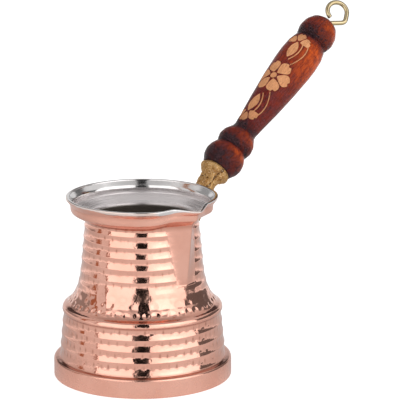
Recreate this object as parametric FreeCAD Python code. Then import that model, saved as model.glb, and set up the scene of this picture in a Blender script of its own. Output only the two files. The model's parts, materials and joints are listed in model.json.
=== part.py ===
import FreeCAD, Part
import math
import os
from FreeCAD import Vector

# Coffee pot for boiling coffee on a stove: a waisted copper pot, tinned inside, with a pressed
# pouring spout and a long turned wooden handle.  A brass tie rod runs through the wood and screws
# into a cast brass bracket; its outer end is bent into a hanging eye.  Three rivets hold the
# bracket to the neck.
#
# Frame: origin at the centre of the base, +Z up, +X towards the handle, spout towards -Y.
# Every length is in millimetres and every angle in degrees.

os.makedirs("parts", exist_ok=True)

# ------------------------------------------------------------------ pot
pot_height = 92.5
wall = 1.4                      # copper sheet
tin = 0.2                       # tinned layer inside and over the lip

base_radius = 45.0
bottom_round = 1.0
band_height = 9.8               # smooth band round the foot
band_round = 2.4
foot_z = 10.8
foot_radius = 42.2              # hammered wall just above the band
shoulder_z = 35.2
shoulder_radius = 40.2          # hammered wall just below the shoulder
shoulder_round = 2.0
shoulder_undercut = 1.1         # how far below the shoulder the hammered wall stops
ledge_z = 37.4
ledge_radius = 37.6             # foot of the flare, just inside the shoulder
flare_z = 44.6
flare_radius = 33.5
waist_z = 55.2                  # first ridge of the neck
waist_radius = 31.2
neck_z = 78.0                   # last ridge of the neck
neck_radius = 29.0
throat_z = 80.4                 # where the collar's fillet begins
throat_radius = 28.8
neck_fillet = 2.2
collar_z = 85.6
collar_radius = 35.6
collar_round = 2.3
collar_tilt = 10.0              # rise of the collar's underside towards its edge
lip_z = 88.8                    # fold where the lip starts to flare
lip_radius = 38.0
lip_step = 0.5                  # widening of the collar up to the fold, and again at the lip's edge
lip_flare_height = 2.2

lower_rings = 4                 # hammered rows between the foot and the shoulder
upper_rings = 4                 # hammered rows between the waist and the neck
ring_depth = 0.35               # how far a row is sunk below its ridges

# Rows of the spout, from its pointed foot to the lip: height, radius of the crease, radius where
# a flank leaves the wall, and half of the angle between the flanks' edges.
spout_rows = ((52.0, 31.5, 31.2, 11.0),
              (81.0, 34.2, 28.6, 20.0),
              (85.0, 38.4, 31.8, 19.0),
              (pot_height, 41.2, 35.0, 17.5))
spout_azimuth = -90.0
pinch_half_angle = 36.0         # the lip is drawn in on both sides of the spout from here
pinch_drop = 2.0                # how far below the collar's edge the drawn-in part starts
spout_root = 12.0               # the pressed V, as a solid, reaches in to this far from the axis
cut_margin = 3.0                # cutting tools stand proud of what they cut by this much

# ------------------------------------------------------------------ bracket and rivets
plate_low_z = 56.5
plate_high_z = 80.0
plate_half_width = 11.0
plate_thickness = 2.4
plate_top_half_width = 7.5
plate_top_margin = 0.4          # trimmed off the sleeve at the top and at the pointed foot
plate_widest_drop = 4.5         # from the plate's top down to its widest place
plate_side_drop = 9.1           # from the plate's top down to where the sides turn in
plate_side_half_width = 9.0
plate_foot_half_width = 4.6     # a little above the pointed foot
plate_foot_rise = 3.6
fit_gap = 0.03                  # between parts that rest against each other

# Arm, from inside the plate to the crown: x, z, heading above the horizontal, half depth in the
# plane of the handle, half width across it.
arm_stations = ((30.2, 72.5, 12, 4.6, 4.9),
                (33.8, 73.7, 30, 4.2, 4.8),
                (38.0, 77.1, 52, 3.9, 4.7),
                (41.4, 81.8, 66, 3.8, 4.8),
                (44.0, 86.6, 66, 4.0, 5.1),
                (47.4, 91.4, 50, 4.6, 5.3),
                (50.4, 94.0, 40, 4.9, 5.3))

# Crown, turned about the handle's axis: radius, distance from the wood's face (towards the wood).
crown_foot = (4.4, -7.6)
crown_cup = (5.3, -5.2)
crown_flare = (7.0, -3.0)
crown_swell = (7.7, -2.2)
crown_edge = (7.9, -1.0)
crown_face = (7.6, 0)

rivet_radius = 1.75
rivet_head_radius = 2.6
rivet_head_height = 1.1
rivet_head_sunk = 1.2           # a head is carried in this far, and trimmed by what it rests on
rivet_clearance = 0.02
rivet_places = ((-7.8, 74.6), (7.8, 74.6), (0.0, 60.6))     # across, up

# ------------------------------------------------------------------ handle and tie rod
handle_angle = 38.0             # rise of the handle above the horizontal
handle_seat = Vector(54.2, 0, 96.9)     # centre of the face where the wood meets the brass
wood_length = 108.5
wood_bore_radius = 1.58
countersink_radius = 3.0
countersink_depth = 3.0

# Turned outline of the wood: radius, distance from the seat.
wood_face = (7.8, 0)
big_bead = (10.6, 7.2)
cove = (8.3, 14.2)
small_bead = (9.5, 18.6)
bead_tail = (7.4, 25.6)
grip_waist = (6.4, 28.4)
grip_swell = ((7.1, 35.0), (8.5, 47.0), (9.9, 62.0), (10.8, 78.0), (10.3, 87.0))
groove = (8.2, 92.4)
knob_start = (9.8, 95.0)
knob = (10.2, 98.3)
knob_round = (8.0, 104.8)
knob_end = (3.6, wood_length)

rod_radius = 1.25
thread_radius = 1.5
thread_length = 8.0
thread_clearance = 0.05
tap_depth_spare = 1.0           # the tapped hole is this much deeper than the thread
thread_overlap = 2.0            # the threaded part runs this far up the plain wire
heel_depth = 0.9                # the wire starts to turn this far inside the countersink
shank_angle = 48.0              # of the straight that leaves the wood, off the handle's axis
heel_radius = 2.2               # bend where the wire leaves the wood
knee_radius = 3.8               # bend where the straight meets the eye
eye_radius = 5.4                # to the middle of the wire
eye_centre_out = 9.3            # past the end of the wood
eye_centre_side = 1.5           # off the handle's axis
eye_entry_angle = 23.0          # heading of the wire where it meets the round of the eye
eye_sweep = 236.0
eye_turn = -42.0                # of the plane of the eye about the handle's axis

Z_AXIS = Vector(0, 0, 1)
ORIGIN = Vector(0, 0, 0)


# ------------------------------------------------------------------ helpers
def rz(r, z):
    """A point of a turned outline: radius r, height z."""
    return Vector(r, 0, z)


def rising(degrees):
    """A unit vector in the handle's plane, by its rise above the horizontal."""
    return rz(math.cos(math.radians(degrees)), math.sin(math.radians(degrees)))


def polar(r, degrees, z):
    """A point at a radius, an azimuth and a height."""
    return Vector(r * math.cos(math.radians(degrees)), r * math.sin(math.radians(degrees)), z)


def line(a, b):
    return Part.makeLine(a, b)


def arc(a, through, b):
    return Part.Arc(a, through, b).toShape()


def corner(centre, radius, from_deg, to_deg):
    """An arc in the XZ plane, by its centre and the angles of its two ends."""
    angles = [math.radians(d) for d in (from_deg, (from_deg + to_deg) / 2, to_deg)]
    return arc(*[centre + rz(radius * math.cos(a), radius * math.sin(a)) for a in angles])


def start_of(edge):
    return edge.Vertexes[0].Point


def end_of(edge):
    return edge.Vertexes[-1].Point


def chain(pieces):
    """Joins the edges of an outline with straight lines wherever two of them don't meet."""
    edges = [pieces[0]]
    for piece in pieces[1:]:
        if end_of(edges[-1]).distanceToPoint(start_of(piece)) > 1e-6:
            edges.append(line(end_of(edges[-1]), start_of(piece)))
        edges.append(piece)
    return edges


def turned(pieces):
    """The solid turned about Z from an outline that starts and ends on the axis."""
    edges = chain(pieces)
    edges.append(line(end_of(edges[-1]), start_of(edges[0])))
    return Part.Face(Part.Wire(edges)).revolve(ORIGIN, Z_AXIS, 360)


def on_handle(shape):
    """Moves a shape built along +Z from the origin to the handle's seat and direction."""
    turn = FreeCAD.Rotation(Z_AXIS, rising(handle_angle))
    shape.Placement = FreeCAD.Placement(handle_seat, turn) * shape.Placement
    return shape


def save(name, solids):
    """Writes one sub-part; a group of equal pieces is one compound of solids."""
    out = solids[0] if len(solids) == 1 else Part.makeCompound(solids)
    out.exportStep("parts/" + name + ".step")
    print(name, len(solids), "solids,", round(sum(s.Volume for s in solids)), "mm3, valid", out.isValid())


# ------------------------------------------------------------------ pot wall
def hammered_rows(low, high, count):
    """Rows stacked between two points of the wall, each a shallow hollow arc."""
    step = (high - low) * (1.0 / count)
    inward = Vector(-step.z, 0, step.x).normalize()
    rows = []
    for i in range(count):
        a = low + step * i
        b = a + step
        rows.append(arc(a, (a + b) * 0.5 + inward * ring_depth, b))
    return rows


def wall_outline(inset, rings):
    """The wall's outline, sunk by inset from the outer face, from the axis up to the lip."""
    edge_round = max(bottom_round - inset, 0.3)
    bottom = corner(rz(base_radius - inset - edge_round, inset + edge_round), edge_round, -90, 0)
    band_top = corner(rz(base_radius - band_round, band_height - band_round), band_round - inset, 0, 90)
    foot = rz(foot_radius - inset, foot_z)
    under_shoulder = rz(shoulder_radius - inset, shoulder_z - shoulder_undercut)
    shoulder = corner(rz(shoulder_radius - shoulder_round, shoulder_z), shoulder_round - inset, 0, 90)
    ledge = rz(ledge_radius - inset, ledge_z - 0.5 * inset)
    waist = rz(waist_radius - inset, waist_z)
    flare = arc(ledge, rz(flare_radius - inset, flare_z), waist)
    neck = rz(neck_radius - inset, neck_z)
    under_collar = corner(rz(throat_radius + neck_fillet, throat_z), neck_fillet + inset,
                          180, 90 + collar_tilt)
    collar = corner(rz(collar_radius - collar_round, collar_z), collar_round - inset,
                    collar_tilt - 90, 0)
    fold = rz(collar_radius + lip_step - inset, lip_z)
    lip_bend = rz(lip_radius - lip_step - inset, lip_z + lip_flare_height)
    lip_top = rz(lip_radius - inset, pot_height)

    lower = hammered_rows(foot, under_shoulder, lower_rings) if rings else [line(foot, under_shoulder)]
    upper = hammered_rows(waist, neck, upper_rings) if rings else [line(waist, neck)]
    return ([line(rz(0, inset), start_of(bottom)), bottom, band_top] + lower + [shoulder, flare] + upper
            + [under_collar, collar, line(fold, lip_bend), line(lip_bend, lip_top),
               line(lip_top, rz(0, pot_height))])


def spout_wedge(inset):
    """The V pressed out of the wall for pouring, as a solid that reaches in to the axis."""
    sections = []
    for z, crease, flank, half_angle in spout_rows:
        edge = polar(flank, spout_azimuth + half_angle, z)
        half_opening = math.atan2(edge.x, crease + edge.y)
        tip = Vector(0, inset / math.sin(half_opening) - crease, z)
        right = polar(flank - inset, spout_azimuth + half_angle, z)
        left = Vector(-right.x, right.y, z)
        root = Vector(0, -spout_root, z)
        sections.append(Part.makePolygon([root, left, tip, right, root]))
    return Part.makeLoft(sections, True, True)


def lip_pinch(inset, side):
    """What is cut off the lip on one side of the spout, where it is drawn in to the flank."""
    low = collar_z - pinch_drop
    flank, half_angle = spout_rows[-1][2:]
    near = polar(flank - inset, spout_azimuth + side * half_angle, low)
    far = polar(lip_radius - inset, spout_azimuth + side * pinch_half_angle, low)
    outward = polar(4 * cut_margin, spout_azimuth + side * (half_angle + pinch_half_angle) / 2, 0)
    plan = Part.makePolygon([near, far, far + outward, near + outward, near])
    return Part.Face(plan).extrude(Z_AXIS * (pot_height - low + cut_margin))


def pot_solid(inset, rings=False):
    """Everything inside the wall face that lies inset below the outer face."""
    round_part = turned(wall_outline(inset, rings)).cut([lip_pinch(inset, s) for s in (-1, 1)])
    return round_part.fuse(spout_wedge(inset)).removeSplitter()


outer = pot_solid(0.0, rings=True)
sheet_bore = pot_solid(wall)
tin_bore = pot_solid(wall + tin)


# ------------------------------------------------------------------ rivets and their holes
def neck_face_radius(z):
    """Radius of the neck's ridges at a height."""
    share = (z - waist_z) / (neck_z - waist_z)
    return waist_radius + share * (neck_radius - waist_radius)


def rivet(across, up):
    """One rivet along the radius and its hole: a shank with a round head at either end."""
    face = neck_face_radius(up)
    turn = math.degrees(math.asin(across / face))
    outside = face + plate_thickness + fit_gap
    inside = face - wall - tin
    dome_radius = (rivet_head_radius ** 2 + rivet_head_height ** 2) / (2 * rivet_head_height)

    def head(at, way):
        dome_centre = Vector(at - way * (dome_radius - rivet_head_height), 0, up)
        side = Part.makeCylinder(rivet_head_radius, rivet_head_height + rivet_head_sunk,
                                 Vector(at - way * rivet_head_sunk, 0, up), Vector(way, 0, 0))
        return Part.makeSphere(dome_radius, dome_centre).common(side)

    along = Vector(1, 0, 0)
    shank = Part.makeCylinder(rivet_radius, outside - inside, Vector(inside, 0, up), along)
    body = shank.fuse([head(outside, 1), head(inside, -1)])
    hole = Part.makeCylinder(rivet_radius + rivet_clearance, outside - inside + 2 * cut_margin,
                             Vector(inside - cut_margin, 0, up), along)
    body.rotate(ORIGIN, Z_AXIS, turn)
    hole.rotate(ORIGIN, Z_AXIS, turn)
    return body, hole


rivets = [rivet(*place) for place in rivet_places]
holes = [hole for body, hole in rivets]

lip_layer = Part.makeCylinder(base_radius + cut_margin, tin, Vector(0, 0, pot_height - tin))
lip_skin = outer.common(lip_layer)
copper_body = outer.cut([sheet_bore, lip_skin] + holes)
tin_lining = sheet_bore.fuse(lip_skin).cut([tin_bore] + holes)


# ------------------------------------------------------------------ brass bracket
def oval(centre, direction, half_deep, half_wide):
    """An oval section of the arm; half_wide runs across the plane of the handle."""
    wire = Part.Wire(Part.Ellipse(ORIGIN, half_wide, half_deep).toShape())
    across = Vector(0, 1, 0)
    turn = FreeCAD.Rotation(across, direction.cross(across), direction, "XYZ")
    wire.Placement = FreeCAD.Placement(centre, turn)
    return wire


def arm():
    """The arm from the plate, out under the collar, round the lip and up to the crown."""
    sections = []
    for x, z, heading, deep, wide in arm_stations:
        sections.append(oval(rz(x, z), rising(heading), deep, wide))
    return Part.makeLoft(sections, True)


def crown():
    """The flared cup that the wood sits against, turned about the handle's axis."""
    foot, flare, edge, face = [rz(*p) for p in (crown_foot, crown_flare, crown_edge, crown_face)]
    pieces = [line(rz(0, foot.z), foot), arc(foot, rz(*crown_cup), flare),
              arc(flare, rz(*crown_swell), edge), line(edge, face), line(face, ORIGIN)]
    return on_handle(turned(pieces))


def plate():
    """A leaf-shaped plate that hugs the neck."""
    low = rz(neck_face_radius(plate_low_z) + fit_gap, plate_low_z)
    high = rz(neck_face_radius(plate_high_z) + fit_gap, plate_high_z)
    out = rz(plate_thickness, 0)
    sleeve_outline = Part.makePolygon([low, high, high + out, low + out, low])
    sleeve = Part.Face(sleeve_outline).revolve(ORIGIN, Z_AXIS, 360)

    top = plate_high_z - plate_top_margin
    foot = plate_low_z + plate_top_margin
    edges = [line(Vector(0, -plate_top_half_width, top), Vector(0, plate_top_half_width, top))]
    for side in (-1, 1):
        top_point = Vector(0, side * plate_top_half_width, top)
        widest = Vector(0, side * plate_half_width, top - plate_widest_drop)
        side_point = Vector(0, side * plate_side_half_width, top - plate_side_drop)
        near_foot = Vector(0, side * plate_foot_half_width, foot + plate_foot_rise)
        edges.append(arc(top_point, widest, side_point))
        edges.append(arc(side_point, near_foot, Vector(0, 0, foot)))
    leaf = Part.Wire(Part.__sortEdges__(edges))
    return sleeve.common(Part.Face(leaf).extrude(Vector(base_radius, 0, 0)))


def neck_space():
    """The neck and what it encloses, grown by the fitting gap, to keep the bracket off it."""
    low = rz(neck_face_radius(shoulder_z) + fit_gap, shoulder_z)
    high = rz(neck_face_radius(throat_z) + fit_gap, throat_z)
    return turned([line(rz(0, low.z), low), line(high, rz(0, high.z))])


def rod_hole():
    """The blind tapped hole for the tie rod, a little deeper than the thread."""
    depth = thread_length + tap_depth_spare
    return on_handle(Part.makeCylinder(thread_radius + thread_clearance, depth + cut_margin, rz(0, -depth)))


handle_bracket = arm().fuse([crown(), plate()]).cut([neck_space(), rod_hole()] + holes).removeSplitter()

bracket_rivets = []
for body, hole in rivets:
    trimmed = body.cut([copper_body, tin_lining, handle_bracket])
    bracket_rivets.append(max(trimmed.Solids, key=lambda s: s.Volume))


# ------------------------------------------------------------------ wooden handle
def wood_outline():
    """Turned outline from the brass seat outwards: two beads, the grip and the end knob."""
    grip = Part.BSplineCurve()
    grip.interpolate([rz(*p) for p in (grip_waist, *grip_swell, groove)])
    return [line(ORIGIN, rz(*wood_face)),
            arc(rz(*wood_face), rz(*big_bead), rz(*cove)),
            arc(rz(*cove), rz(*small_bead), rz(*bead_tail)),
            line(rz(*bead_tail), rz(*grip_waist)),
            grip.toShape(),
            arc(rz(*groove), rz(*knob_start), rz(*knob)),
            arc(rz(*knob), rz(*knob_round), rz(*knob_end)),
            line(rz(*knob_end), rz(0, wood_length))]


bore = Part.makeCylinder(wood_bore_radius, wood_length + 2 * cut_margin, rz(0, -cut_margin))
countersink = Part.makeCone(wood_bore_radius, countersink_radius, countersink_depth,
                            rz(0, wood_length - countersink_depth))
wood_handle = on_handle(turned(wood_outline()).cut([bore, countersink]))


# ------------------------------------------------------------------ tie rod with its eye
def heading_vector(degrees):
    """A unit vector in the rod's plane, by its angle off the handle's axis."""
    return rz(math.sin(math.radians(degrees)), math.cos(math.radians(degrees)))


def bend(at, before, after, radius):
    """The arc that rounds the corner of a wire at a point, between two headings."""
    reach = radius * math.tan(math.radians(abs(after - before) / 2))
    first = at - heading_vector(before) * reach
    last = at + heading_vector(after) * reach
    side = 90 if after > before else -90
    centre = first + heading_vector(before + side) * radius
    middle = centre + (at - centre).normalize() * radius
    return arc(first, middle, last)


def rod_path():
    """Middle line of the wire: rod, bend, short straight, corner and the open eye."""
    centre = rz(eye_centre_side, wood_length + eye_centre_out)
    entry = centre + heading_vector(90 - eye_entry_angle) * eye_radius
    leave = rz(0, wood_length - heel_depth)
    straight, side = heading_vector(shank_angle), heading_vector(-eye_entry_angle)
    gap = entry - leave
    along = (gap.x * side.z - gap.z * side.x) / (straight.x * side.z - straight.z * side.x)
    turn_point = leave + straight * along
    middle = centre + heading_vector(90 - eye_entry_angle - eye_sweep / 2) * eye_radius
    tip = centre + heading_vector(90 - eye_entry_angle - eye_sweep) * eye_radius
    rod_start = rz(0, -thread_length)
    heel = bend(leave, 0, shank_angle, heel_radius)
    knee = bend(turn_point, shank_angle, -eye_entry_angle, knee_radius)
    return chain([line(rod_start, start_of(heel)), heel, knee, arc(entry, middle, tip)])


def tie_rod():
    """Wire bent to an eye, with a rolled thread at the inner end."""
    path = Part.Wire(rod_path())
    section = Part.Wire(Part.makeCircle(rod_radius, rz(0, -thread_length), Z_AXIS))
    thread = Part.makeCylinder(thread_radius, thread_length + thread_overlap, rz(0, -thread_length))
    shape = path.makePipeShell([section], True, True).fuse(thread).removeSplitter()
    shape.rotate(ORIGIN, Z_AXIS, eye_turn)
    return on_handle(shape)


hook_rod = tie_rod()

save("copper_body", copper_body.Solids)
save("tin_lining", tin_lining.Solids)
save("handle_bracket", handle_bracket.Solids)
save("bracket_rivets", bracket_rivets)
save("wood_handle", wood_handle.Solids)
save("hook_rod", hook_rod.Solids)
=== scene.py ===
import json
import math

import bmesh
import bpy
import numpy as np
from mathutils import Matrix, Vector, noise


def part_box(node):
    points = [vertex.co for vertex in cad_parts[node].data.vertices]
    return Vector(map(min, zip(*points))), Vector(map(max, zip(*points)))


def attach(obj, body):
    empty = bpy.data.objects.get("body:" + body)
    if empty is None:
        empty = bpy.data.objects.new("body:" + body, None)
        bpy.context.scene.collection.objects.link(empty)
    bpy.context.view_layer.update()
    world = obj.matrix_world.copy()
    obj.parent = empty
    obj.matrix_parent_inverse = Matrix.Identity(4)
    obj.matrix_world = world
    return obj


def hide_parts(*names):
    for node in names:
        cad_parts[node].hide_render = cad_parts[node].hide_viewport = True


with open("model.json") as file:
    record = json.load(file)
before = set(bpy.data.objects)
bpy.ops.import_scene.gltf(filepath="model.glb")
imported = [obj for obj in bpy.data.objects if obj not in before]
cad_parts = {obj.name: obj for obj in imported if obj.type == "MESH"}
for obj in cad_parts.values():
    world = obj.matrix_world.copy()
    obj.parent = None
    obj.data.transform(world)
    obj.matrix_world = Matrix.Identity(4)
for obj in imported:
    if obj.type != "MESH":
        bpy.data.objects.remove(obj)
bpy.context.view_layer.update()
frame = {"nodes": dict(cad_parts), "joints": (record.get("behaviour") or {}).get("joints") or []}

# The pot, its tinning, the cast bracket, the rivets, the carved grip and the hook wire are each
# rebuilt as a fine mesh in the place of their CAD node.  Shapes are worked out in millimetres.
MM = 0.001

copper_low, copper_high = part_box("copper_body")
tin_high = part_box("tin_lining")[1]
hook_joint = next(j for j in frame["joints"] if j["name"] == "hook_turn")

base_radius = copper_high.x / MM
pot_height = tin_high.z / MM
seat = np.array(hook_joint["pos_m"]) / MM          # centre of the wood's inner face
handle_axis = np.array(hook_joint["axis"])
handle_axis = handle_axis / np.linalg.norm(handle_axis)
handle_down = np.array([handle_axis[2], 0.0, -handle_axis[0]])   # square to the axis, downwards
handle_side = np.array([0.0, 1.0, 0.0])

wall = 1.4
tin = 0.2
lip_radius = 38.0
around = 720       # points round the pot
fine = 0.35        # spacing of points up the hammered wall


# ---------- outlines
def rounded(corners, step):
    """A dense outline through corners given as (radius, height, rounding)."""
    points = [np.array(corners[0][:2], float)]
    for before, here, after in zip(corners, corners[1:], corners[2:]):
        a, b, c = (np.array(p[:2], float) for p in (before, here, after))
        to_a, to_c = a - b, c - b
        len_a, len_c = np.linalg.norm(to_a), np.linalg.norm(to_c)
        to_a, to_c = to_a / len_a, to_c / len_c
        opening = math.acos(max(-1.0, min(1.0, float(to_a @ to_c))))
        reach = min(here[2] / math.tan(opening / 2), 0.48 * len_a, 0.48 * len_c)
        start, end = b + to_a * reach, b + to_c * reach
        count = max(4, int(reach * 2 / step))
        for t in np.linspace(0, 1, count + 1):
            # a quadratic curve that leaves and arrives along the two sides
            points.append((1 - t) ** 2 * start + 2 * t * (1 - t) * b + t ** 2 * end)
    points.append(np.array(corners[-1][:2], float))
    dense = [points[0]]
    for p in points[1:]:
        gap = np.linalg.norm(p - dense[-1])
        if gap < 1e-6:
            continue
        pieces = max(1, math.ceil(gap / step))
        last = dense[-1]
        for i in range(1, pieces + 1):
            dense.append(last + (p - last) * i / pieces)
    return np.array(dense)


outer_corners = (       # radius, height, rounding, and whether the inner face follows it
    (base_radius, 0.0, 0.9, True),
    (base_radius, 9.9, 2.5, True),
    (42.3, 10.1, 0.35, True),
    (40.0, 34.0, 0.25, False),
    (40.55, 34.5, 0.7, False),
    (40.25, 36.7, 3.2, True),
    (37.5, 38.1, 5.0, True),
    (34.6, 42.4, 4.0, True),
    (32.7, 46.6, 5.0, True),
    (31.7, 51.5, 6.0, True),
    (31.2, 55.2, 3.0, True),
    (29.0, 78.0, 2.0, True),
    (28.7, 81.2, 2.0, True),
    (35.6, 84.9, 2.3, True),
    (35.9, 88.7, 1.0, True),
    (lip_radius, 91.4, 1.2, True),
    (lip_radius, pot_height - tin, 0.0, True),
)


def wall_corners(inset):
    """Corners of the wall sunk by inset below the outer face, from the axis to the lip."""
    if inset == 0:
        return [(0.0, 0.0, 0.0)] + [corner[:3] for corner in outer_corners]
    kept = [(0.0, 0.0, 0.0)] + [corner[:3] for corner in outer_corners if corner[3]]
    places = np.array([corner[:2] for corner in kept])
    along = np.diff(places, axis=0)
    along /= np.linalg.norm(along, axis=1, keepdims=True)
    facing = np.stack([along[:, 1], -along[:, 0]], axis=-1)
    sunk = [(0.0, inset, 0.0)]
    for i in range(1, len(kept) - 1):
        before, after = facing[i - 1], facing[i]
        r, z = places[i] - inset * (before + after) / (1 + before @ after)
        turn = before[0] * after[1] - before[1] * after[0]
        sunk.append((r, z, max(kept[i][2] - math.copysign(inset, turn), 0.25)))
    sunk.append((kept[-1][0] - inset, kept[-1][1], 0.0))
    return sunk


# ---------- spout
spout_azimuth = math.radians(-90)
spout_foot = 52.0
spout_throat = 81.0
pinch_end = math.radians(37)


def smooth(x):
    x = np.clip(x, 0, 1)
    return x * x * (3 - 2 * x)


def from_spout(theta):
    """Angle away from the middle of the spout, positive towards the handle."""
    return (theta - spout_azimuth + math.pi) % (2 * math.pi) - math.pi


def spout_half_angle(phi, z):
    lip_half_angle = np.where(phi > 0, 16.2, 17.5)
    throat = np.interp(z, [spout_foot, spout_throat], [11.0, 20.0])
    share = np.clip((z - spout_throat) / (pot_height - spout_throat), 0, 1)
    return np.radians(throat + (lip_half_angle - throat) * share)


def spout_ratio(phi, r, z):
    """How much farther out than r the wall stands, phi away from the middle of the spout."""
    levels = [28.8, 35.7, lip_radius]
    above = z > spout_throat
    crease = np.where(above, np.interp(r, levels, [34.9, 38.6, 41.0]),
                      np.interp(z, [spout_foot, spout_throat], [31.5, 34.9]))
    drawn_in = np.where(phi > 0, np.interp(r, levels, [28.6, 34.9, 37.2]),
                        np.interp(r, levels, [28.6, 34.0, 35.0]))
    flank = np.where(above, drawn_in, r - 0.2)
    half = spout_half_angle(phi, z)
    turn = np.abs(phi)
    inside = np.clip(turn, 0, half)
    straight = crease * flank * np.sin(half) / (
        crease * np.sin(inside) + flank * np.sin(half - inside))
    pinch = smooth((turn - half) / (np.where(above, pinch_end, half + 0.05) - half))
    ratio = np.where(turn < half, straight / r, flank / r + (1 - flank / r) * pinch)
    fade = smooth((z - spout_foot + 0.8) / 1.2)
    return 1 + (ratio - 1) * fade


def spout_dip(phi, z):
    """How far the lip sinks towards the tip of the spout, less the rise of the collar's edge."""
    turn = np.degrees(np.abs(phi))
    dip = 1.5 * smooth(1 - turn / 19) * smooth((z - 86) / 6)
    rise = 1.2 * smooth(1.5 - turn / 28) * smooth((z - 79.5) / 3) * smooth((91 - z) / 5)
    return dip - rise


def blur_round(values, width):
    """Softens values along the ring by a bell curve some points wide."""
    reach = int(3 * width) + 1
    offsets = np.arange(-reach, reach + 1)
    weights = np.exp(-0.5 * (offsets / width) ** 2)
    weights /= weights.sum()
    return sum(w * np.roll(values, o, axis=-1) for w, o in zip(weights, offsets))


theta = np.arange(around) * 2 * math.pi / around
phi = from_spout(theta)
crisp = around / 360 * 0.8          # points in 0.8 degree, over which the creases are softened


def wobble(z):
    """A slow unevenness of the hand-finished wall."""
    return (0.10 * np.sin(2 * theta + 0.6 + z * 0.02) + 0.05 * np.sin(5 * theta + z * 0.11)
            + 0.03 * np.sin(9 * theta - z * 0.23))


def ring(r, z, inset=0.0, push=0.0):
    """One ring of the wall; r is measured on this face, inset below the outer one."""
    outer = np.full(around, float(r)) + inset if np.isscalar(r) else r + inset
    height = np.full(around, float(z)) if np.isscalar(z) else z
    ratio = blur_round(spout_ratio(phi, np.maximum(outer, 1.0), height), crisp)
    uneven = wobble(height) * smooth((outer - 20) / 15) * smooth(height / 15)
    radius = outer * ratio - inset + push + uneven
    radius = np.where(outer - inset < 0.5, outer - inset, radius)
    return np.stack([radius * np.cos(theta), radius * np.sin(theta),
                     height - spout_dip(phi, height)], axis=-1)


# ---------- meshes
def mesh_object(name, vertices, faces, attributes=()):
    """A smooth-shaded object from millimetre vertices, with named numbers on its vertices."""
    mesh = bpy.data.meshes.new(name)
    mesh.from_pydata((np.asarray(vertices) * MM).tolist(), [], faces)
    mesh.validate()
    for label, values in attributes:
        values = np.asarray(values, float)
        kind = "FLOAT_VECTOR" if values.ndim == 2 else "FLOAT"
        field = "vector" if values.ndim == 2 else "value"
        mesh.attributes.new(label, kind, "POINT").data.foreach_set(field, values.ravel())
    work = bmesh.new()
    work.from_mesh(mesh)
    bmesh.ops.recalc_face_normals(work, faces=work.faces)
    work.to_mesh(mesh)
    work.free()
    mesh.polygons.foreach_set("use_smooth", [True] * len(mesh.polygons))
    made = bpy.data.objects.new(name, mesh)
    bpy.context.collection.objects.link(made)
    return made


def closed_lathe(name, rings, start, end, attributes=()):
    """Joins rings of equal length into a closed skin, with a point at either end."""
    rings = np.asarray(rings)
    count, round_count = rings.shape[:2]
    vertices = np.concatenate([rings.reshape(-1, 3), [start], [end]])
    i = np.arange(count - 1)[:, None] * round_count
    j = np.arange(round_count)[None, :]
    k = (j + 1) % round_count
    quads = np.stack([i + j, i + k, i + round_count + k, i + round_count + j], axis=-1)
    faces = quads.reshape(-1, 4).tolist()
    first, last = count * round_count, count * round_count + 1
    top = (count - 1) * round_count
    for a in range(round_count):
        b = (a + 1) % round_count
        faces.append((first, b, a))
        faces.append((last, top + a, top + b))
    full = []
    for label, values in attributes:
        values = np.asarray(values)
        flat = values.reshape(count * round_count, -1)
        ends = np.stack([flat[:round_count].mean(axis=0), flat[-round_count:].mean(axis=0)])
        flat = np.concatenate([flat, ends])
        full.append((label, flat if flat.shape[1] == 3 else flat[:, 0]))
    return mesh_object(name, vertices, faces, full)


# ---------- hammer marks
lower_ridges = (10.8, 17.0, 22.7, 28.4, 34.0)
upper_ridges = (49.6, 55.2, 61.3, 67.0, 72.4, 78.0, 82.6)
mark_width = 4.4
row_depth, first_row_depth = 0.38, 0.24
lower_scallop, upper_scallop = 0.095, 0.030
dent_depth, dent_spacing = 0.017, 2.4

# The flare has a string of small deep marks just above the ledge and two of broad soft ones.
# Each has a height, spacing, depth, roundness round the pot and up it, and crispness of rim.
flare_strings = ((39.9, 4.7, 0.30, 5.5, 3.6, 40.0),
                 (43.2, 5.6, 0.18, 13.0, 9.0, 20.0),
                 (46.9, 6.2, 0.11, 24.0, 20.0, 12.0))


def round_the_pot(knots):
    """Smooth values at every point round the pot, through knots spaced evenly round it."""
    steps = knots.shape[-1]
    at = theta / (2 * math.pi) * steps
    low = np.floor(at).astype(int)
    share = smooth(at - low)
    return knots[..., low % steps] * (1 - share) + knots[..., (low + 1) % steps] * share


def slow_noise(random, swings):
    """A smooth random curve round the pot, from -1 to 1."""
    return round_the_pot(random.uniform(-1, 1, swings))


def dents(random, run, spacing, swings):
    """Random shallow unevenness over the whole face, from -1 to 1."""
    levels = np.linspace(0, run[-1], int(run[-1] / spacing) + 2)
    rows = round_the_pot(random.uniform(-1, 1, (len(levels), swings)))
    up = np.interp(run, levels, np.arange(len(levels)))
    below = np.minimum(np.floor(up).astype(int), len(levels) - 2)
    part = smooth(up - below)[:, None]
    return rows[below] * (1 - part) + rows[below + 1] * part


def at_height(path, values, z):
    """The value that goes with height z on the outer face."""
    return float(np.interp(z, path[:-1, 1], values[:-1]))


def side_by_side(random, count, scallop):
    """Each point's mark and its place across it, from -1 to 1, and how deep every mark is."""
    bounds = (np.arange(count + 1) + random.uniform(0, 1)) * 2 * math.pi / count
    bounds[:-1] += random.uniform(-0.13, 0.13, count) * 2 * math.pi / count
    bounds[-1] = bounds[0] + 2 * math.pi
    deep = scallop * random.uniform(0.65, 1.35, count)
    deep[random.uniform(0, 1, count) > 0.92] *= 1.7
    at = (theta - bounds[0]) % (2 * math.pi) + bounds[0]
    mark = np.clip(np.searchsorted(bounds, at, side="right") - 1, 0, count - 1)
    share = 2 * (at - bounds[mark]) / (bounds[mark + 1] - bounds[mark]) - 1
    return mark, share, deep


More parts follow.
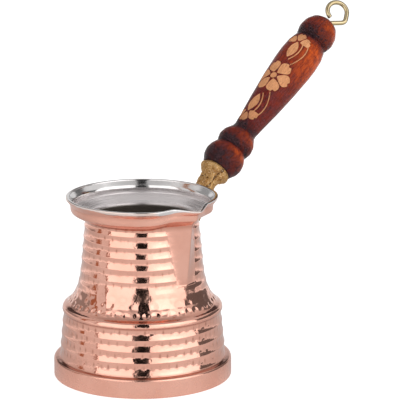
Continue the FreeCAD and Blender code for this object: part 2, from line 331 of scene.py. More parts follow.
def pips(random, count, mark, share, across, tall):
    """Small deeper points that the hammer left in some of the marks: their shape and depth."""
    deep = np.where(random.uniform(0, 1, count) > 0.72, random.uniform(0.03, 0.075, count), 0.0)
    off = random.uniform(-0.3, 0.3, count)
    up = random.uniform(0.05, 0.45, count)
    shape = np.clip(1 - ((share - off[mark]) * mark_width / 2) ** 2 / 1.3
                    - ((across - up[mark]) * tall / 2) ** 2 / 1.3, 0, 1)
    return shape, deep[mark]


def edge_spots(random, count, mark, share, across):
    """Painted shade: dark spots where two neighbouring marks meet."""
    level = random.uniform(0.1, 1.0, count)
    level[random.uniform(0, 1, count) > 0.8] = 1.6
    spot_height = random.uniform(0.15, 0.45, count)
    at_edge = (mark + (share > 0)) % count
    near = np.exp(-((1 - np.abs(share)) * mark_width / 2 / 0.42) ** 2)
    spot = np.exp(-((across - spot_height[at_edge]) / 0.30) ** 2)
    return near * spot * level[at_edge]


def press_row(random, path, depth, edge, low, high, sunk, scallop):
    """Presses one row of side-by-side marks between two ridges, and paints shade at their edges."""
    height = path[:, 1]
    low_line = low + 0.16 * slow_noise(random, 26)
    high_line = high + 0.16 * slow_noise(random, 26)
    uneven = 1 + 0.10 * slow_noise(random, 34)
    rows = np.where((height > low - 0.5) & (height < high + 0.5))[0]
    across = 2 * (height[rows][:, None] - low_line) / (high_line - low_line) - 1
    inside = np.abs(across) < 1
    count = round(2 * math.pi * at_height(path, path[:, 0], (low + high) / 2) / mark_width)
    mark, share, deep = side_by_side(random, count, scallop)
    round_mark = 0.55 * (1 - np.abs(share) ** 2.3) + 0.225 * (1 + np.cos(math.pi * share))
    window = smooth((across + 0.30) / 0.55) * smooth((1 - across) / 0.35)
    bowl = np.clip(1 - np.abs(across) ** 2.0, 0, None)
    pip, pip_depth = pips(random, count, mark, share, across, high - low)
    cut = sunk * uneven * bowl + deep[mark] * round_mark * window + pip_depth * pip
    depth[rows] = np.where(inside, cut, depth[rows])
    # painted shade round the rims of the deeper points and where neighbouring marks meet, stronger on the
    # side to the camera's left
    brim = np.exp(-((pip - 0.12) / 0.10) ** 2) * (pip_depth > 0) * (pip > 0) * 0.7
    shade_to_left = 1 + 0.8 * smooth(np.cos(theta - math.radians(135)))
    spots = edge_spots(random, count, mark, share, across)
    stain_and_shade = (spots + brim) * shade_to_left * (0.4 + 0.6 * scallop / lower_scallop)
    edge[rows] = np.where(inside, stain_and_shade, edge[rows])


def strike(pressed_in, run, sharp, angle, at, radius, deep, round_u, round_v):
    """Adds one round hammer mark, centred at an angle and a place up the face."""
    reach_v = math.sqrt(2 * round_v * (deep + 5 / sharp))
    reach_u = math.sqrt(2 * round_u * (deep + 5 / sharp))
    rows = np.where(np.abs(run - at) < reach_v)[0]
    du = ((theta - angle + math.pi) % (2 * math.pi) - math.pi) * radius
    columns = np.where(np.abs(du) < reach_u)[0]
    dent = (deep - du[columns][None, :] ** 2 / (2 * round_u)
            - (run[rows] - at)[:, None] ** 2 / (2 * round_v))
    pressed_in[np.ix_(rows, columns)] += np.exp(sharp * dent)


def press_string(random, path, run, depth, edge, z, pitch, deep, round_u, round_v, sharp):
    """Presses one string of round marks about height z, and paints shade on their rims."""
    pressed_in = np.zeros(depth.shape)
    at = at_height(path, run, z)
    radius = at_height(path, path[:, 0], z)
    count = round(2 * math.pi * radius / pitch)
    by_the_ledge = z < 41
    loose = 0.12 if by_the_ledge else 0.22
    for i in range(count):
        turn = (i + random.uniform(-loose, loose)) * 2 * math.pi / count
        strike(pressed_in, run, sharp, turn, at + random.uniform(-loose, loose) * 3, radius,
               deep * random.uniform(0.65, 1.35), round_u * random.uniform(0.8, 1.3),
               round_v * random.uniform(0.8, 1.3))
    depth += np.log(1 + pressed_in) / sharp
    rim_of_mark = np.exp(-((pressed_in - 1.6) / 1.1) ** 2) * (pressed_in > 0.2)
    edge += (0.55 if by_the_ledge else 0.16) * rim_of_mark


def hammer_marks(path, run):
    """Depth of the hammer marks, and the painted shade at their edges."""
    random = np.random.default_rng(7)
    height = path[:, 1]
    depth = np.zeros((len(path), around))
    edge = np.zeros((len(path), around))
    for low, high in zip(lower_ridges, lower_ridges[1:]):
        press_row(random, path, depth, edge, low, high, row_depth, lower_scallop)
    for low, high in zip(upper_ridges, upper_ridges[1:]):
        sunk = row_depth if low > upper_ridges[0] else first_row_depth
        press_row(random, path, depth, edge, low, high, sunk, upper_scallop)
    for string in flare_strings:
        press_string(random, path, run, depth, edge, *string)
    unevenness = dent_depth * dents(random, run, dent_spacing, 84)
    depth += unevenness * smooth((height - 9.0) / 3.0)[:, None]
    # the pressed spout is left smooth
    from_crease = np.abs(phi)[None, :] - spout_half_angle(phi, height[:, None])
    beside_spout = smooth(from_crease / math.radians(1.2))
    keep = np.where(height[:, None] > spout_foot - 0.5, beside_spout, 1.0)
    return depth * keep, edge * keep


# ---------- materials
def material(name, metallic=0.0, roughness=0.5):
    made = bpy.data.materials.new(name)
    made.use_nodes = True
    shader = made.node_tree.nodes["Principled BSDF"]
    shader.inputs["Metallic"].default_value = metallic
    shader.inputs["Roughness"].default_value = roughness
    return made, Nodes(made.node_tree), shader


class Nodes:
    """Short ways to add shader nodes; a value may be a number or another node's output."""

    def __init__(self, tree):
        self.tree = tree

    def put(self, socket, value):
        if isinstance(value, bpy.types.NodeSocket):
            self.tree.links.new(value, socket)
        elif value is not None:
            socket.default_value = value

    def add(self, kind, **settings):
        node = self.tree.nodes.new(kind)
        for key, value in settings.items():
            setattr(node, key, value)
        return node

    def math(self, operation, a, b=None, clamp=False):
        node = self.add("ShaderNodeMath", operation=operation, use_clamp=clamp)
        for socket, value in zip(node.inputs, (a, b)):
            self.put(socket, value)
        return node.outputs[0]

    def times(self, a, b):
        return self.math("MULTIPLY", a, b)

    def plus(self, a, b):
        return self.math("ADD", a, b)

    def ramp(self, value, low, high, to_low=0.0, to_high=1.0):
        """A smooth step from to_low to to_high as value goes from low to high."""
        node = self.add("ShaderNodeMapRange", interpolation_type="SMOOTHSTEP")
        for socket, v in zip(node.inputs, (value, low, high, to_low, to_high)):
            self.put(socket, v)
        return node.outputs[0]

    def mix(self, factor, a, b):
        """Colour a where factor is 0 and colour b where it is 1."""
        node = self.add("ShaderNodeMix", data_type="RGBA")
        self.put(node.inputs["Factor"], factor)
        for socket, value in ((node.inputs[6], a), (node.inputs[7], b)):
            self.put(socket, (*value, 1.0) if isinstance(value, tuple) else value)
        return node.outputs[2]

    def noise(self, vector, scale, detail=2.0, rough=0.5, distortion=0.0):
        node = self.add("ShaderNodeTexNoise")
        for key, value in (("Vector", vector), ("Scale", scale), ("Detail", detail),
                           ("Roughness", rough), ("Distortion", distortion)):
            self.put(node.inputs[key], value)
        return node.outputs["Fac"]

    def place(self):
        return self.add("ShaderNodeTexCoord").outputs["Object"]

    def attribute(self, name, output="Fac"):
        return self.add("ShaderNodeAttribute", attribute_name=name).outputs[output]

    def split(self, vector):
        node = self.add("ShaderNodeSeparateXYZ")
        self.put(node.inputs[0], vector)
        return node.outputs

    def join(self, x, y, z):
        node = self.add("ShaderNodeCombineXYZ")
        for socket, value in zip(node.inputs, (x, y, z)):
            self.put(socket, value)
        return node.outputs[0]

    def stretched(self, parts, scales):
        return self.join(*[self.times(part, scale) for part, scale in zip(parts, scales)])

    def bump(self, height, strength, distance, normal=None):
        node = self.add("ShaderNodeBump")
        for key, value in (("Height", height), ("Strength", strength), ("Distance", distance),
                           ("Normal", normal)):
            self.put(node.inputs[key], value)
        return node.outputs[0]


def turned_place(n):
    """Texture places that run in rings round the pot's axis: fine across, long around."""
    x, y, z = n.split(n.place())
    radius = n.math("SQRT", n.plus(n.times(x, x), n.times(y, y)))
    turn = n.math("ARCTAN2", y, x)
    return radius, turn, z


def copper_material():
    made, n, shader = material("copper", 1.0, 0.1)
    place = n.place()
    radius, turn, z = turned_place(n)
    cloud = n.noise(place, 45.0, 3.0, 0.6)
    tone = n.mix(n.ramp(cloud, 0.35, 0.7), (0.80, 0.44, 0.345), (0.745, 0.385, 0.295))
    # painted shade at the hammer marks' edges and along the folds darkens the copper
    tone = n.mix(n.math("MULTIPLY", n.attribute("painted_shade"), 0.62, clamp=True), tone, (0.36, 0.135, 0.085))
    n.put(shader.inputs["Base Color"], tone)
    band = n.ramp(z, 0.0088, 0.0102, 1.0, 0.0)
    streaks = n.noise(n.stretched((radius, turn, z), (900.0, 1.2, 900.0)), 1.0, 2.0)
    smudge = n.noise(place, 120.0, 2.0, 0.7)
    dull = n.math("MAXIMUM", band, n.ramp(z, 0.0815, 0.0845, 0.0, 0.8))
    rough = n.plus(n.ramp(smudge, 0.3, 0.8, 0.08, 0.15), n.times(dull, 0.17))
    n.put(shader.inputs["Roughness"], rough)
    lines = n.bump(streaks, n.plus(n.times(band, 0.25), 0.03), 0.0001)
    ripple = n.noise(place, 300.0, 2.0, 0.6)
    waves = n.bump(ripple, n.ramp(z, 0.0088, 0.0112, 0.05, 0.5), 0.0002, lines)
    n.put(shader.inputs["Normal"], n.bump(smudge, 0.04, 0.0004, waves))
    return made


def tin_material():
    made, n, shader = material("wiped_tin", 1.0, 0.16)
    place = n.place()
    radius, turn, z = turned_place(n)
    stain_and_shade = n.noise(place, 60.0, 4.0, 0.65)
    deep = n.ramp(z, 0.0806, 0.0826, 1.0, 0.0)
    neck = n.ramp(z, 0.0868, 0.0884, 1.0, 0.0)
    outside = n.ramp(radius, 0.0374, 0.0380)
    tone = n.mix(n.ramp(stain_and_shade, 0.42, 0.75), (0.74, 0.715, 0.71), (0.60, 0.575, 0.565))
    tone = n.mix(n.times(outside, n.ramp(stain_and_shade, 0.35, 0.7, 0.35, 0.75)), tone,
                 (0.78, 0.60, 0.52))
    tone = n.mix(n.times(neck, 0.8), tone, (0.70, 0.645, 0.645))
    # deep in the pot the tinning is painted dark: its own stain and painted shade
    stain_and_shade_tone = n.mix(stain_and_shade, (0.045, 0.036, 0.026), (0.105, 0.086, 0.066))
    tone = n.mix(n.times(deep, 0.95), tone, stain_and_shade_tone)
    n.put(shader.inputs["Base Color"], tone)
    film = n.math("MAXIMUM", n.times(neck, 0.55), deep)
    n.put(shader.inputs["Metallic"], n.math("SUBTRACT", 1.0, n.times(film, 0.6)))
    lines = n.noise(n.stretched((radius, turn, z), (1500.0, 0.8, 1500.0)), 1.0, 3.0, 0.7)
    n.put(shader.inputs["Roughness"], n.plus(n.ramp(lines, 0.3, 0.75, 0.09, 0.2), n.times(neck, 0.16)))
    n.put(shader.inputs["Normal"], n.bump(n.noise(place, 260.0, 2.0), 0.06, 0.0003,
                                          n.bump(lines, 0.22, 0.0001)))
    return made


def brass_material():
    made, n, shader = material("cast_brass", 1.0, 0.38)
    place = n.place()
    grain = n.noise(place, 1500.0, 3.0, 0.8)
    cloud = n.noise(place, 260.0, 3.0, 0.65)
    tone = n.mix(n.ramp(cloud, 0.35, 0.7), (0.58, 0.345, 0.13), (0.40, 0.205, 0.065))
    # painted shade darkens the hollows
    tone = n.mix(n.ramp(n.attribute("hollow_shade"), 0.05, 0.7), tone, (0.10, 0.040, 0.012))
    tone = n.mix(n.ramp(grain, 0.52, 0.66, 0.0, 0.7), tone, (0.92, 0.74, 0.48))
    tone = n.mix(n.ramp(grain, 0.34, 0.47, 0.65, 0.0), tone, (0.20, 0.085, 0.025))
    n.put(shader.inputs["Base Color"], tone)
    n.put(shader.inputs["Roughness"], n.ramp(grain, 0.3, 0.7, 0.60, 0.36))
    n.put(shader.inputs["Normal"], n.bump(grain, 1.0, 0.00045))
    return made


def rivet_material():
    made, n, shader = material("rivet_copper", 1.0, 0.25)
    place = n.place()
    cloud = n.noise(place, 300.0, 3.0, 0.6)
    n.put(shader.inputs["Base Color"],
          n.mix(n.ramp(cloud, 0.35, 0.7), (0.78, 0.38, 0.27), (0.55, 0.24, 0.15)))
    n.put(shader.inputs["Roughness"], n.ramp(cloud, 0.3, 0.7, 0.16, 0.34))
    n.put(shader.inputs["Normal"], n.bump(cloud, 0.3, 0.0003))
    return made


def wire_material():
    made, n, shader = material("brass_wire", 1.0, 0.2)
    place = n.attribute("local", "Vector")
    x, y, along = n.split(place)
    drawn = n.noise(n.stretched((x, y, along), (4.0, 4.0, 0.15)), 1.0, 3.0, 0.6)
    patch = n.noise(n.join(x, y, n.times(along, 0.5)), 0.7, 2.0, 0.6)
    tone = n.mix(n.ramp(drawn, 0.35, 0.7), (0.60, 0.50, 0.32), (0.40, 0.30, 0.14))
    tone = n.mix(n.ramp(patch, 0.5, 0.75, 0.0, 0.6), tone, (0.60, 0.40, 0.30))
    # painted shade: the wire darkens where it turns away from the viewer
    edge_on_shade = n.add("ShaderNodeLayerWeight")
    edge_on_shade.inputs["Blend"].default_value = 0.5
    tone = n.mix(n.ramp(edge_on_shade.outputs["Facing"], 0.38, 0.72, 0.0, 0.92), tone, (0.085, 0.060, 0.022))
    n.put(shader.inputs["Base Color"], tone)
    n.put(shader.inputs["Roughness"], n.ramp(drawn, 0.3, 0.7, 0.13, 0.26))
    n.put(shader.inputs["Normal"], n.bump(drawn, 0.25, 0.0001))
    return made


def wood_material():
    made, n, shader = material("lacquered_wood", 0.0, 0.35)
    local = n.attribute("local", "Vector")
    x, y, along = n.split(local)
    carve = n.attribute("carve")
    dark_lacquer_and_shade = n.attribute("dark_lacquer_and_shade")
    amber_and_highlight = n.attribute("amber_and_highlight")
    fibre = n.noise(n.stretched((x, y, along), (1.5, 1.5, 0.16)), 1.0, 4.0, 0.7, 0.9)
    pores = n.noise(n.stretched((x, y, along), (5.0, 5.0, 0.8)), 1.0, 3.0, 0.65, 0.4)
    blotch = n.noise(local, 0.30, 4.0, 0.62, 0.8)
    curl = n.noise(local, 0.75, 3.0, 0.6, 2.8)
    scratch = n.ramp(n.math("ABSOLUTE", n.math("SUBTRACT", curl, 0.5)), 0.0, 0.022, 1.0, 0.0)
    lacquer = n.mix(n.ramp(fibre, 0.38, 0.62), (0.200, 0.0125, 0.005), (0.050, 0.0032, 0.003))
    # amber lacquer and painted highlight where the grip is lit
    lit = n.times(amber_and_highlight, n.ramp(blotch, 0.34, 0.60, 0.35, 1.0))
    amber = n.mix(n.ramp(fibre, 0.40, 0.74), (0.66, 0.105, 0.012), (0.33, 0.030, 0.005))
    lacquer = n.mix(lit, lacquer, amber)
    # dark lacquer deepened by painted shade in the grooves and away from the light
    dark = n.math("MULTIPLY", dark_lacquer_and_shade, n.ramp(blotch, 0.36, 0.62, 1.15, 0.60), clamp=True)
    lacquer = n.mix(dark, lacquer, (0.0065, 0.0024, 0.0042))
    # painted sheen along the fine scratches, weaker where the painted highlight is
    scratch_sheen = n.times(scratch, n.ramp(blotch, 0.40, 0.60, 0.85, 0.25))
    scratch_sheen = n.times(scratch_sheen, n.ramp(amber_and_highlight, 0.0, 0.8, 1.0, 0.20))
    lacquer = n.mix(scratch_sheen, lacquer, (0.30, 0.125, 0.145))
    speck = n.ramp(n.noise(local, 3.2, 3.0, 0.7), 0.60, 0.72)
    lacquer = n.mix(n.times(speck, 0.5), lacquer, (0.33, 0.115, 0.085))
    raw = n.mix(n.ramp(fibre, 0.3, 0.75), (0.82, 0.41, 0.205), (0.60, 0.255, 0.110))
    raw = n.mix(n.ramp(pores, 0.52, 0.64, 0.0, 0.60), raw, (0.27, 0.085, 0.030))
    # painted shade darkens the carved wood too
    raw = n.mix(n.times(dark_lacquer_and_shade, 0.75), raw, (0.22, 0.085, 0.045))
    edge = n.ramp(carve, 0.25, 0.6)
    rim = n.times(n.ramp(carve, 0.02, 0.2), n.ramp(carve, 0.3, 0.5, 1.0, 0.0))
    tone = n.mix(n.times(rim, 0.85), n.mix(edge, lacquer, raw), (0.070, 0.009, 0.006))
    n.put(shader.inputs["Base Color"], tone)
    n.put(shader.inputs["Roughness"], n.mix(edge, (0.24, 0.24, 0.24), (0.6, 0.6, 0.6)))
    n.put(shader.inputs["Specular IOR Level"], n.ramp(carve, 0.1, 0.6, 0.11, 0.06))
    fine_bump = n.bump(pores, 0.6, 0.00018)
    n.put(shader.inputs["Normal"], n.bump(fibre, 0.5, 0.00040, n.bump(scratch, 0.4, 0.00012, fine_bump)))
    return made


def dress(piece, made, node, body):
    """Gives a finished piece its material and its body, and hides the CAD node it stands in for."""
    piece.data.materials.clear()
    piece.data.materials.append(made)
    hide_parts(node)
    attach(piece, body)
    return piece


# ---------- pot
def path_normals(path):
    """Unit normals of an outline, pointing away from the metal's inside."""
    along = np.gradient(path, axis=0)
    length = np.linalg.norm(along, axis=1, keepdims=True)
    along = along / np.maximum(length, 1e-9)
    return np.stack([along[:, 1], -along[:, 0]], axis=-1)


def running_length(path):
    return np.concatenate([[0], np.cumsum(np.linalg.norm(np.diff(path, axis=0), axis=1))])


outer_path = rounded(wall_corners(0.0), fine)
outer_run = running_length(outer_path)


def hammered_pot():
    """The copper: outer face with its marks, over the lip, and down the inner face."""
    marks, edges = hammer_marks(outer_path, outer_run)
    normals = path_normals(outer_path)
    rings, painted_shade = [], []
    # painted shade along the folds and creases: each line's height, width and strength
    dark_lines = ((81.6, 0.9, 0.8), (88.3, 0.5, 0.25), (37.9, 0.8, 0.6), (33.9, 0.5, 1.0), (10.1, 0.7, 0.8))
    for (r, z), (out, up), depth, edge in zip(outer_path[1:], normals[1:], marks[1:], edges[1:]):
        face = ring(r, z, push=-depth * out)
        face[:, 2] -= depth * up
        rings.append(face)
        crease = sum(level * math.exp(-((z - at) / width) ** 2) for at, width, level in dark_lines)
        painted_shade.append(np.clip(edge + crease, 0, 1))
    inner = rounded(wall_corners(wall), 0.9)[::-1]
    for r, z in inner[:-1]:
        rings.append(ring(r, z, inset=wall))
        painted_shade.append(np.zeros(around))
    return closed_lathe("hammered_pot", rings, (0, 0, 0), (0, 0, wall), [("painted_shade", painted_shade)])


def tin_wash():
    """The tinning: inside face, over the lip, and down its outside to a ragged edge."""
    camera_side = math.radians(-137)
    turn = np.abs((theta - camera_side + math.pi) % (2 * math.pi) - math.pi)
    drop = 0.7 + 1.7 * smooth((math.radians(38) - turn) / math.radians(16))
    for i, t in enumerate(theta):
        spot = Vector((math.cos(t), math.sin(t), 0.3)) * 2.2
        speck = Vector((math.cos(t), math.sin(t), 0.8)) * 16
        drop[i] += 0.5 * noise.noise(spot) + 0.30 * noise.noise(speck)
    drop = np.clip(drop, 0.35, 3.5)
    lip = outer_path[::-1]
    from_top = running_length(lip)
    front, back = [], []
    steps = 10
    skin = 0.07
    for k in range(steps + 1):
        d = drop * k / steps
        r = np.interp(d, from_top, lip[:, 0])
        z = np.interp(d, from_top, lip[:, 1])
        lift = skin * (1 - (k / steps) ** 6)
        front.append(ring(r, z, push=lift))
        back.append(ring(r, z, push=-0.02))
    mouth_out = ring(lip_radius - 0.35, pot_height)
    mouth_in = ring(lip_radius - wall - tin + 0.35, pot_height)
    inside = [ring(r, z, inset=wall + tin) for r, z in rounded(wall_corners(wall + tin), 0.6)[1:]]
    behind = [ring(r, z, inset=wall + 0.03) for r, z in rounded(wall_corners(wall + 0.03), 0.9)[1:]]
    under_height = pot_height - tin + 0.02
    under_top = [ring(lip_radius - 0.4, under_height), ring(lip_radius - wall, under_height)]
    rings = inside + [mouth_in, mouth_out] + front + back[::-1] + under_top + behind[::-1]
    return closed_lathe("tin_wash", rings, (0, 0, wall + tin), (0, 0, wall + 0.03))


# ---------- bracket and rivets
def remeshed_copy(name, node, voxel, smoothing):
    """A new, evenly meshed object in the shape of a CAD node."""
    source = frame["nodes"][node]
    rough = bpy.data.objects.new(name + "_draft", source.data.copy())
    bpy.context.collection.objects.link(rough)
    remesh = rough.modifiers.new("remesh", "REMESH")
    remesh.mode = "VOXEL"
    remesh.voxel_size = voxel * MM
    relax = rough.modifiers.new("relax", "SMOOTH")
    relax.factor = 0.5
    relax.iterations = smoothing
    bpy.context.view_layer.update()
    evaluated = rough.evaluated_get(bpy.context.evaluated_depsgraph_get())
    mesh = bpy.data.meshes.new_from_object(evaluated)
    mesh.name = name
    bpy.data.objects.remove(rough)
    mesh.polygons.foreach_set("use_smooth", [True] * len(mesh.polygons))
    made = bpy.data.objects.new(name, mesh)
    bpy.context.collection.objects.link(made)
    return made


def points_and_normals(mesh):
    """Every vertex of a mesh in millimetres, and the way it faces."""
    points, normals = np.zeros((2, len(mesh.vertices) * 3))
    mesh.vertices.foreach_get("co", points)
    mesh.vertices.foreach_get("normal", normals)
    return points.reshape(-1, 3) / MM, normals.reshape(-1, 3)


def noise_at(points, scale, seed):
    """Smooth noise at every point; scale is the size of a lump in millimetres."""
    shift = Vector((seed * 17.3, seed * 5.1, seed * 9.7))
    return np.array([noise.noise(Vector(p) / scale + shift) for p in points.tolist()])


def handle_places(points):
    """Places in the handle's own frame: down, side, along."""
    off = points - seat
    return off @ handle_down, off @ handle_side, off @ handle_axis


view_turn = math.radians(-132.0)      # side of the handle that faces the camera, about its axis


def cast_bracket():
    """The bracket as a sand casting: lobed crown, a vein down the arm, and a grainy skin."""
    made = remeshed_copy("cast_bracket", "handle_bracket", 0.34, 3)
    mesh = made.data
    points, normals = points_and_normals(mesh)
    down, side, along = handle_places(points)
    turn = np.arctan2(side, down)
    radius = np.hypot(side, down)
    from_view = (turn - view_turn + math.pi) % (2 * math.pi) - math.pi
    crown = smooth((along + 9.0) / 2.5) * smooth((0.2 - along) / 1.0) * smooth((radius - 2.2) / 2.0)
    between = np.array([0.42, 2.5, -1.9])                        # gaps between the crown's three lobes
    gap = np.abs((from_view[:, None] - between + math.pi) % (2 * math.pi) - math.pi).min(axis=1)
    lobe = np.sqrt(np.clip(1 - (1 - np.clip(gap / 0.75, 0, 1)) ** 2, 0, 1))
    swell = np.exp(-((along + 3.4) / 2.6) ** 2)
    lift = crown * swell * (0.85 * lobe - 0.35) - 0.55 * crown * np.exp(-(gap / 0.13) ** 2)
    left_of_vein = smooth((0.4 - from_view) / 0.5)
    under = np.exp(-((along + 8.3) / 0.9) ** 2) * left_of_vein * smooth((from_view + 1.6) / 0.5)
    brow = np.exp(-((along + 10.6) / 0.9) ** 2) * left_of_vein * smooth((from_view + 1.2) / 0.5)
    lift += 0.35 * brow - 0.45 * under
    arm_vein = smooth((-6.5 - along) / 2.0) * smooth((along + 26) / 6.0)
    line = np.exp(-((from_view - 0.42) / 0.13) ** 2)
    lift -= 0.45 * arm_vein * line
    lumps = noise_at(points, 2.4, 1)
    grains = noise_at(points, 0.9, 2)
    clear = smooth((np.hypot(points[:, 0], points[:, 1]) - 31.6) / 0.8)       # keeps the seat flat
    clear *= smooth((-0.35 - along) / 0.5)
    rough = 0.32 * lumps + 0.26 * grains
    # painted shade in the gaps between the lobes, along the vein and under the brow
    hollow_shade = crown * np.exp(-(gap / 0.11) ** 2) + arm_vein * line + 0.55 * under
    hollow_shade = np.clip(hollow_shade * 0.85 - 0.9 * grains - 0.15, 0, 1)
    points = points + normals * ((lift + rough) * clear)[:, None]
    mesh.vertices.foreach_set("co", (points * MM).ravel())
    mesh.attributes.new("hollow_shade", "FLOAT", "POINT").data.foreach_set("value", hollow_shade)
    mesh.update()
    return made


def peened_rivets():
    """The rivets, with slightly uneven heads."""
    made = remeshed_copy("peened_rivets", "bracket_rivets", 0.16, 2)
    mesh = made.data
    points, normals = points_and_normals(mesh)
    out = np.hypot(points[:, 0], points[:, 1])
    head = smooth((np.abs(out - 31.2) - 1.9) / 0.6)
    points = points + normals * (head * 0.10 * noise_at(points, 1.3, 3))[:, None]
    mesh.vertices.foreach_set("co", (points * MM).ravel())
    mesh.update()
    return made


# ---------- carved grip
wood_length = 108.5
bore_radius = 1.58
bore_end = wood_length - 2.6          # the bore opens out above this


def on_handle(points):
    """From the handle's own frame (down, side, along) to the row frame."""
    points = np.asarray(points)
    return (seat + points[..., 0:1] * handle_down + points[..., 1:2] * handle_side
            + points[..., 2:3] * handle_axis)


def grip_outline():
    """(radius, along) corners of the turned wood, outside only, with their roundings."""
    lower_beads = [(7.9, 0.0, 0.5), (8.9, 2.0, 2), (10.3, 4.6, 4), (10.75, 7.4, 4), (10.3, 10.4, 4),
                   (9.1, 13.0, 2), (7.9, 14.4, 0.5), (9.0, 15.6, 1.5), (9.75, 18.4, 3), (9.2, 21.6, 3),
                   (7.6, 24.6, 2), (6.75, 26.0, 1.2)]
    swell = [(6.4, 28.2, 1.5), (7.1, 35.0, 8), (8.55, 47.0, 10), (9.95, 62.0, 10), (10.75, 74.0, 8),
             (10.85, 80.0, 8), (10.4, 86.5, 6), (9.3, 91.0, 2.0)]
    knob = [(8.1, 92.9, 0.5), (9.3, 94.2, 1.5), (10.25, 98.0, 4), (9.7, 102.2, 5), (7.6, 106.2, 4),
            (4.6, 108.3, 2), (3.0, wood_length, 0.4)]
    return [(bore_radius, 0.0, 0), *lower_beads, *swell, *knob, (bore_radius, bore_end, 0)]


def petal_field(u, v, length, width, notch):
    """Inside measure of a heart-shaped petal that starts at the origin and points along +u."""
    s = np.clip(u / length, 0, 1)
    half = width * np.sin(math.pi * np.power(s, 1.45)) ** 0.62
    cut = notch * np.exp(-(v / (0.24 * width)) ** 2)
    tip = length - cut - u
    return np.minimum(np.minimum(half - np.abs(v), tip), u - 0.2)


def leaf_field(u, v, length, width):
    """Inside measure of a pointed leaf centred on the origin, lying along u."""
    s = np.clip(1 - (2 * u / length) ** 2, 0, 1)
    return np.where(np.abs(u) < length / 2, width / 2 * s - np.abs(v), -1.0)


def stem_field(u, v, start, bend, end, width):
    """Inside measure of a curved line through three points."""
    best = np.full(u.shape, 9.0)
    for t in np.linspace(0, 1, 26):
        x = (1 - t) ** 2 * start[0] + 2 * t * (1 - t) * bend[0] + t * t * end[0]
        y = (1 - t) ** 2 * start[1] + 2 * t * (1 - t) * bend[1] + t * t * end[1]
        best = np.minimum(best, np.hypot(u - x, v - y))
    return width / 2 - best


flower_along, flower_across = 60.0, -6.0      # middle of the carving, across from the side in view
petal_count = 6


def carving(along, across):
    """Inside measure of a regular floral pattern: one flower between two mirrored sprays."""
    spacing = 2 * math.pi / petal_count
    field = np.full(along.shape, -1.0)

    def petal(out, side, turn, reach, width):
        u = out * math.cos(turn) + side * math.sin(turn)
        v = -out * math.sin(turn) + side * math.cos(turn)
        shape = petal_field(u - 0.2 * reach, v, 0.8 * reach, width, 0.1 * reach)
        return np.minimum(shape, u * math.tan(spacing / 2) - np.abs(v) - 0.22)

    out, side = along - flower_along, across - flower_across
    for i in range(petal_count):
        field = np.maximum(field, petal(out, side, (i + 0.5) * spacing, 10.2, 3.5))
    field = np.maximum(field, 1.8 - np.hypot(out, side))
    for way in (-1, 1):
        away = way * out
        field = np.maximum(field, leaf_field(away - 18.4, side, 11.4, 5.2))
        for start, bend, end in (((12.0, 1.6), (18.5, 5.6), (24.6, 2.8)),
                                 ((9.8, 4.4), (19.5, 9.6), (26.0, 5.4))):
            field = np.maximum(field, stem_field(away, side, start, bend, end, 0.80))
        for i in (-1, 0, 1):
            field = np.maximum(field, petal(away - 23.0, side, i * spacing, 7.6, 2.7))
    return field


# how dark the lacquer is, deepened by painted shade, and how much amber lacquer and painted highlight it
# has: (place along the grip, amount); darkest, with painted shade, in the grooves
dark_and_shade_along = ((0, 1.4), (3, 1.2), (6, 0.95), (8.5, 0.6), (11, 0.25), (13, 0.7), (14.4, 1.5),
                (16.5, 1.2), (19, 0.6), (22, 0.30), (24.5, 0.9), (26, 1.5), (28, 1.2), (31, 0.60),
                (38, 0.32), (60, 0.16), (85, 0.05), (90, 0.5), (92.5, 1.6), (94.5, 1.3), (97, 0.8),
                (100, 0.35), (104, 0.2), (wood_length, 0.75))
amber_and_highlight_along = ((0, 0), (7, 0.3), (11, 0.8), (14, 0), (18, 0.3), (22, 0.6), (26, 0), (32, 0.05),
              (45, 0.05), (60, 0.18), (72, 0.70), (86, 0.95), (91, 0.2), (97, 0.35), (102, 0.8),
              (wood_length, 0.3))
carved_from, carved_to, carving_depth = 27.6, 91.6, 0.30


def carved_grip():
    """The turned grip with its shallow floral carving, bored for the tie rod."""
    step = 0.22
    count = 420
    outline = rounded(grip_outline(), step)
    turn = np.arange(count) * 2 * math.pi / count
    inner = [(bore_radius, t) for t in np.linspace(bore_end, 0, 40)[1:-1]]
    normals = path_normals(outline)
    rings, carved, darkened_and_shaded, amber_and_highlighted = [], [], [], []
    from_view = (turn - view_turn + math.pi) % (2 * math.pi) - math.pi
    lit_side = smooth((from_view + 0.5) / 1.0) * smooth((2.2 - from_view) / 0.8)
    for (r, t), (out, up) in zip(outline, normals):
        inside = np.full(count, -1.0)
        if carved_from < t < carved_to:
            inside = carving(np.full(count, t), from_view * r)
        cut = smooth((inside + 0.10) / 0.34)
        depth = carving_depth * cut
        ripple = 0.05 * np.sin(3 * turn + t * 0.05) + 0.03 * np.sin(7 * turn - t * 0.13)
        radius = r + (ripple - depth) * out
        along = np.full(count, t) - depth * up
        rings.append(np.stack([radius * np.cos(turn), radius * np.sin(turn), along], axis=-1))
        carved.append(cut)
        # dark lacquer deepened by painted shade, less on the lit side
        darkened_and_shaded.append(np.interp(t, *zip(*dark_and_shade_along)) * (1 - 0.35 * lit_side))
        # amber lacquer with a painted highlight, mostly on the lit side
        amber_and_highlighted.append(np.interp(t, *zip(*amber_and_highlight_along)) * (0.25 + 0.75 * lit_side))
    for r, t in inner:
        rings.append(np.stack([r * np.cos(turn), r * np.sin(turn), np.full(count, t)], axis=-1))
        carved.append(np.zeros(count))
        # the bore is painted dark, as in shade
        darkened_and_shaded.append(np.ones(count))
        amber_and_highlighted.append(np.zeros(count))
    rings = np.array(rings)
    return ring_tube("carved_grip", rings, [("carve", carved), ("dark_lacquer_and_shade", darkened_and_shaded), ("amber_and_highlight", amber_and_highlighted)])


